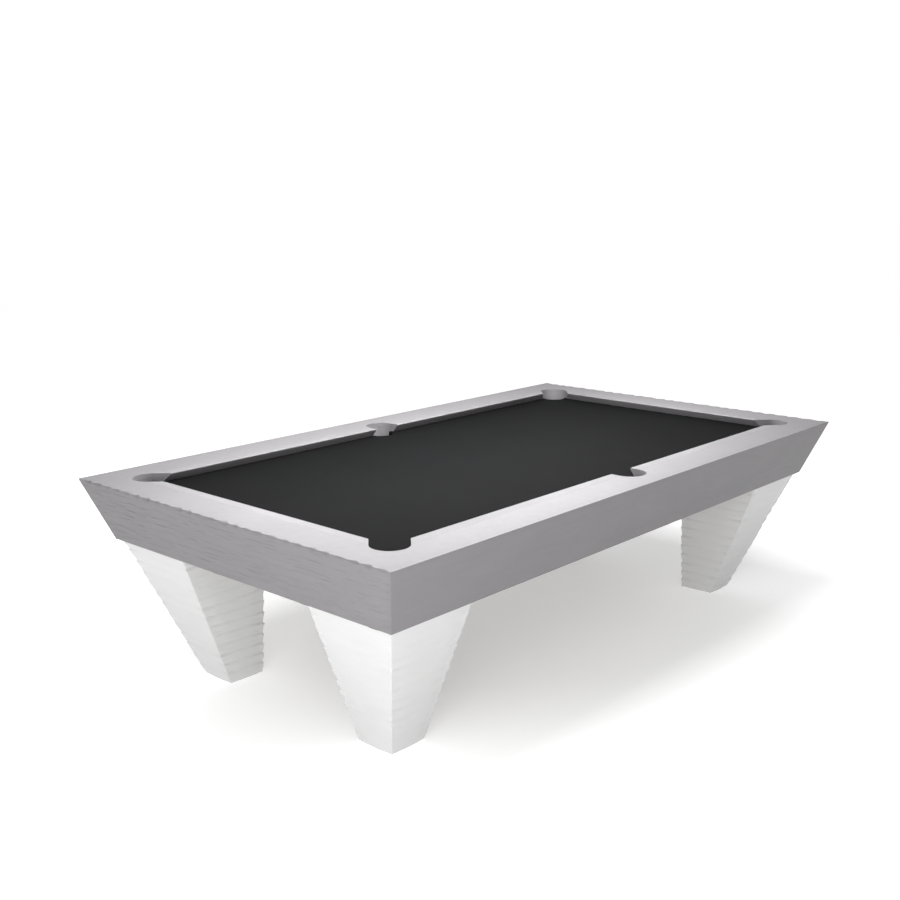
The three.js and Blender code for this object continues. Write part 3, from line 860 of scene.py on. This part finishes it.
def leg_ring(z, sx, sy, seed):
    """One level of a leg's outside: points round its four carved faces.

    The carving is followed out from the leg's outermost corner and back again, so that it
    meets at every corner. The corners are sunk first, and a face's points lie between them.
    """
    spans = leg_spans(z)
    corners = leg_corners(spans)
    inwards = [Vector(c) for c in ((0, -1), (1, 0), (0, 1), (-1, 0))]
    x_width, y_width = [high - low for low, high in spans]
    out_and_back = (0.0, x_width, x_width + y_width, y_width, 0.0)
    ends = rounding(z, LEG_ROUND) + rounding(LEG_TOP - z, LEG_ROUND)
    sunk = [carved_depth(around, z, seed, **LEG_CARVING) + ends for around in out_and_back]
    ring = []
    for k, width in enumerate((x_width, y_width, x_width, y_width)):
        length = width - sunk[k] - sunk[k + 1]
        for place in leg_places(length):
            edge = min(place, length - place)
            share = 1 - (1 - LEG_FACE_SHARE) * smoothstep(0.0, LEG_CORNER_REACH, edge)
            around = out_and_back[k] + (out_and_back[k + 1] - out_and_back[k]) * place / length
            relief = share * carved_depth(around, z, seed, **LEG_CARVING)
            depth = relief + rounding(edge, LEG_ROUND) + ends
            spot = corners[k] + inwards[k - 1] * (sunk[k] + place) + inwards[k] * depth
            ring.append((sx * spot.x, sy * spot.y, z))
    return ring


def leg_inner_ring(z, sx, sy):
    """One level of a leg's plain inside, with a point for each point outside."""
    corners = leg_corners(leg_spans(z, LEG_WALL))
    count = len(leg_places(1.0))
    ring = []
    for k in range(4):
        for i in range(count):
            spot = corners[k].lerp(corners[(k + 1) % 4], i / count)
            ring.append((sx * spot.x, sy * spot.y, z))
    return ring


def leg_shell(name, sx, sy, seed):
    """A hollow leg: carved outside, plain inside, open at its top and its foot."""
    outside = [leg_ring(z, sx, sy, seed) for z in leg_levels()]
    inside = [leg_inner_ring(z, sx, sy) for z in (LEG_TOP, 0.0)]
    make_piece(f"carved_leg_{name}", *closed_loft(outside + inside), "white_carving",
               replaces=[f"leg_shell_{name}"], smooth_below=50)


# ------------------------------------------------------------------ cups, feet and fasteners

def cup_floor(radius, level):
    """The profile of a cup's rounded floor, from its flat middle out to its side."""
    profile = []
    for i in range(CUP_TURNS + 1):
        angle = math.pi / 2 * i / CUP_TURNS
        profile.append((radius - CUP_ROUND * (1 - math.sin(angle)),
                        level + CUP_ROUND * (1 - math.cos(angle))))
    return profile


def pocket_cup(name, centre, heading):
    """A moulded drop cup with a rounded floor and a flange under the slate."""
    low, high = [corner.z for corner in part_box(f"pocket_cup_{name}")]
    floor_radius, mouth, flange = (CUP_RADIUS[part] for part in ("floor", "mouth", "flange"))
    outside = cup_floor(floor_radius, low)
    inside = cup_floor(floor_radius - CUP_WALL, low + CUP_WALL)
    profile = [(0.0, low), *outside, (mouth, high - CUP_WALL), (flange, high - CUP_WALL), (flange, high),
               (mouth - CUP_WALL, high), *reversed(inside), (0.0, low + CUP_WALL)]
    shape = turned(profile, sides=64, centre=polar(centre, heading, HOLE_SETBACK))
    cup = make_piece(f"drop_cup_{name}", *shape, "pocket_rubber",
                     replaces=[f"pocket_cup_{name}"], smooth_below=50)
    add_bevel(cup, width=0.0006, angle=50)


def threaded_rod(low, high, centre):
    """A rod with a helical thread and a chamfered upper end."""
    rings = []
    for z in steps(low, high, THREAD_PITCH / THREAD_LEVELS):
        ring = []
        for i in range(THREAD_SIDES):
            turn = i / THREAD_SIDES
            ridge = abs(2 * ((z / THREAD_PITCH - turn) % 1.0) - 1)
            radius = STUD_RADIUS - THREAD_DEPTH * (1 - ridge)
            radius = min(radius, STUD_RADIUS - STUD_CHAMFER + max(0.0, high - z))
            ring.append((*polar(centre, 2 * math.pi * turn, radius), z))
        rings.append(ring)
    return ring_loft(rings)


def foot_place(name):
    """A levelling foot's box and its axis in plan."""
    low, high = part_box(f"levelling_foot_{name}")
    return low, high, ((low.x + high.x) / 2, (low.y + high.y) / 2)


def levelling_foot(name):
    """A threaded stud on a round pad, which slides out of the leg."""
    low, high, centre = foot_place(name)
    pad = (high.x - low.x) / 2
    hub = low.z + HUB_HEIGHT
    profile = [(0.0, low.z), (pad - PAD_CHAMFER, low.z), (pad, low.z + PAD_CHAMFER),
               (pad, low.z + PAD_EDGE), (HUB_RADIUS, hub), (STUD_RADIUS, hub), (0.0, hub)]
    foot = turned(profile, sides=48, centre=centre)
    stud = threaded_rod(hub - HUB_OVERLAP, high.z, centre)
    make_piece(f"threaded_foot_{name}", *joined([foot, stud]), "steel", body=f"foot_{name}",
               replaces=[f"levelling_foot_{name}"], smooth_below=30)


def hex_bolt(centre, seat):
    """A washer and a hexagon head hanging from a seat, with a shallow dish in the head."""
    under = seat - WASHER_THICKNESS
    washer = [(0.0, seat), (WASHER_RADIUS, seat), (WASHER_RADIUS, under), (0.0, under)]
    root, face = under + BOLT_SINK, under - BOLT_HEAD
    rim, lip, dish = (BOLT_RADIUS * share for share in (0.86, 0.55, 0.45))
    head = [(0.0, root), (BOLT_RADIUS, root), (BOLT_RADIUS, face + BOLT_CHAMFER), (rim, face),
            (lip, face), (dish, face + BOLT_DISH), (0.0, face + BOLT_DISH)]
    return joined([turned(washer, sides=24, centre=centre), turned(head, sides=6, centre=centre)])


def pan_screw(centre, seat):
    """A domed screw head with a round socket, hanging from a seat."""
    shoulder, crown, mouth, socket = (SCREW_RADIUS * share for share in (0.92, 0.6, 0.36, 0.30))
    flank, face, bottom = (seat - SCREW_HEAD * share for share in (0.6, 1.0, 0.4))
    dome = [(0.0, seat), (SCREW_RADIUS, seat), (shoulder, flank), (crown, face), (mouth, face),
            (socket, bottom), (0.0, bottom)]
    return turned(dome, sides=20, centre=centre)


def bolt_group(name, bolts):
    """Hexagon bolts as one piece."""
    piece = make_piece(name, *joined(bolts), "steel", smooth_below=25)
    add_bevel(piece, width=0.0003, angle=50)


def rail_bolts():
    """Eighteen bolts that draw the rails down on the slate, their heads below it."""
    bolts = []
    for axis in (0, 1):
        across = HALF_FIELD[1 - axis] + RAIL_BOLT_OUT
        for along in RAIL_BOLT_PLACES[axis]:
            for place in sorted({along, -along}):
                for side in (-across, across):
                    centre = (place, side) if axis == 0 else (side, place)
                    bolts.append(hex_bolt(centre, SLATE_BOTTOM - SEAM))
    bolt_group("rail_bolts", bolts)


def leg_plate_bolts():
    """Four bolts through each leg's top plate into the frame above."""
    bolts = []
    for name, sx, sy in LEGS:
        centre = foot_place(name)[2]
        for along, across in PLATE_BOLT_PLACES:
            place = (centre[0] + sx * along, centre[1] + sy * across)
            bolts.append(hex_bolt(place, PLATE_BOTTOM - SEAM))
    bolt_group("leg_plate_bolts", bolts)


def cup_screws():
    """Three screws through each cup's flange into the slate."""
    screws = []
    reach = (CUP_RADIUS["mouth"] + CUP_RADIUS["flange"]) / 2
    for name, centre, heading, _ in pockets():
        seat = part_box(f"pocket_cup_{name}")[1].z - CUP_WALL
        hole = polar(centre, heading, HOLE_SETBACK)
        for turn in CUP_SCREW_ANGLES:
            screws.append(pan_screw(polar(hole, heading + turn, reach), seat))
    make_piece("cup_screws", *joined(screws), "steel", smooth_below=35)


# ------------------------------------------------------------------ carried-over CAD pieces

CAD_FINISH = {
    "rail_body": "hardwood", "frame_beam": "hardwood", "frame_end_beam": "hardwood",
    "slate_joint_beam": "hardwood", "frame_centre_beam": "hardwood", "slate_": "slate",
    "leg_core": "steel", "levelling_collar": "steel",
}
CAD_EDGE = {"hardwood": 0.0015, "slate": 0.0015, "steel": 0.0010}


def finish_cad_nodes():
    """Materials and softened edges for the CAD pieces that stay."""
    for name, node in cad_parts.items():
        if node.hide_render:
            continue
        matching = [prefix for prefix in CAD_FINISH if name.startswith(prefix)]
        slot = CAD_FINISH[max(matching, key=len)]
        node.data.materials.clear()
        node.data.materials.append(MATERIAL[slot])
        add_bevel(node, width=CAD_EDGE[slot], angle=35)


# ------------------------------------------------------------------ stage, light and camera

def floor():
    """A pale floor whose emission is painted light: it glows white away from the table and stays low round
    it as a painted shadow.
    """
    far = FLOOR_REACH
    mesh = bpy.data.meshes.new("studio_floor")
    mesh.from_pydata([(-far, -far, 0), (far, -far, 0), (far, far, 0), (-far, far, 0)], [], [(0, 1, 2, 3)])
    shade = Shade("studio_floor", roughness=0.9, Emission_Color=(1.0, 1.0, 1.0, 1.0))
    tone = shade.cloud(scale=0.8, detail=2.0)
    shade.colour(tone, (0.3, grey(0.80)), (0.7, grey(0.82)))
    away = shade.node("ShaderNodeVectorMath", operation="LENGTH")
    squeeze = (1 / PAINTED_SHADOW_REACH[0], 1 / PAINTED_SHADOW_REACH[1], 1.0)
    shade.link(shade.coordinates(squeeze, PAINTED_SHADOW_CENTRE), away.inputs[0])
    # painted light: the floor's emission rises from a painted shadow round the table to a white glow
    # further out
    painted_glow = shade.node("ShaderNodeMapRange", interpolation_type="SMOOTHSTEP",
                      From_Min=0.6, From_Max=1.3, To_Min=0.36, To_Max=0.61)
    shade.link(away.outputs["Value"], painted_glow.inputs["Value"])
    shade.link(painted_glow.outputs["Result"], shade.shader.inputs["Emission Strength"])
    mesh.materials.append(shade.material)
    ground = bpy.data.objects.new("studio_floor", mesh)
    bpy.context.scene.collection.objects.link(ground)


def backdrop(dim, bright):
    """A dim room with a bright wall on one side, which shades off softly."""
    fades_from, fades_to = 0.88, 0.50           # cosines of the angle from the bright side
    world = bpy.data.worlds.new("studio")
    world.use_nodes = True
    tree = world.node_tree
    direction = tree.nodes.new("ShaderNodeTexCoord")
    facing = tree.nodes.new("ShaderNodeVectorMath")
    facing.operation = "DOT_PRODUCT"
    facing.inputs[1].default_value = Vector(BRIGHT_SIDE).normalized()
    level = tree.nodes.new("ShaderNodeMapRange")
    level.interpolation_type = "SMOOTHSTEP"
    level.inputs["From Min"].default_value = fades_to
    level.inputs["From Max"].default_value = fades_from
    level.inputs["To Min"].default_value = dim
    level.inputs["To Max"].default_value = bright
    background = tree.nodes["Background"]
    tree.links.new(direction.outputs["Generated"], facing.inputs[0])
    tree.links.new(facing.outputs["Value"], level.inputs["Value"])
    tree.links.new(level.outputs["Result"], background.inputs["Strength"])
    background.inputs["Color"].default_value = (1.0, 1.0, 1.0, 1.0)
    bpy.context.scene.world = world


def put_in_scene(name, data, heading, place=(0.0, 0.0, 0.0)):
    """A light or a camera at a place, facing along a heading."""
    made = bpy.data.objects.new(name, data)
    made.location = place
    made.rotation_mode = "QUATERNION"
    made.rotation_quaternion = Vector(heading).to_track_quat("-Z", "Y")
    bpy.context.scene.collection.objects.link(made)
    return made


def area_light(name, place, aim, size, power):
    """A rectangular light at a place, aimed at another."""
    data = bpy.data.lights.new(name, "AREA")
    data.shape = "RECTANGLE"
    data.size, data.size_y = size
    data.energy = power
    put_in_scene(name, data, Vector(aim) - Vector(place), place)


def sun(heading, strength, softness):
    """A broad, soft sun."""
    data = bpy.data.lights.new("sun", "SUN")
    data.energy = strength
    data.angle = math.radians(softness)
    put_in_scene("sun", data, heading)


def studio_light():
    """The room, two lamps over the table, one low on the left and a soft sun."""
    backdrop(dim=0.25, bright=1.02)
    area_light("overhead_low", place=(-0.18, 0.0, 1.65), aim=(-0.18, 0.0, 0.0), size=(2.5, 0.4), power=56.0)
    area_light("overhead_high", place=(0.0, 0.1, 3.4), aim=(0.0, 0.1, 0.0), size=(2.5, 2.0), power=98.0)
    area_light("left_front", place=(-4.2, -2.4, 0.9), aim=(-1.0, 0.0, 0.6), size=(2.0, 1.4), power=98.0)
    sun(heading=(0.6, 0.5, -0.7), strength=0.6, softness=40.0)


def camera():
    """The camera that took the photo, solved from the table's edges."""
    data = bpy.data.cameras.new("camera")
    data.lens = CAMERA_LENS
    data.sensor_width = CAMERA_SENSOR
    bpy.context.scene.camera = put_in_scene("camera", data, CAMERA_HEADING, CAMERA_PLACE)
    bpy.context.scene.view_settings.view_transform = "Standard"


# ------------------------------------------------------------------ making

camera()
for side_name in SIDES:
    apron_panel(side_name)
    cushions(side_name)
rail_top()
bed_cloth()
for pocket_name, pocket_centre, pocket_heading, pocket_kind in pockets():
    pocket_liner(pocket_name, pocket_centre, pocket_heading, pocket_kind)
    pocket_cup(pocket_name, pocket_centre, pocket_heading)
for number, (leg_name, leg_sx, leg_sy) in enumerate(LEGS):
    leg_shell(leg_name, leg_sx, leg_sy, FIRST_LEG_SEED + NEXT_LEG_SEED * number)
    levelling_foot(leg_name)
rail_bolts()
leg_plate_bolts()
cup_screws()
finish_cad_nodes()
floor()
studio_light()
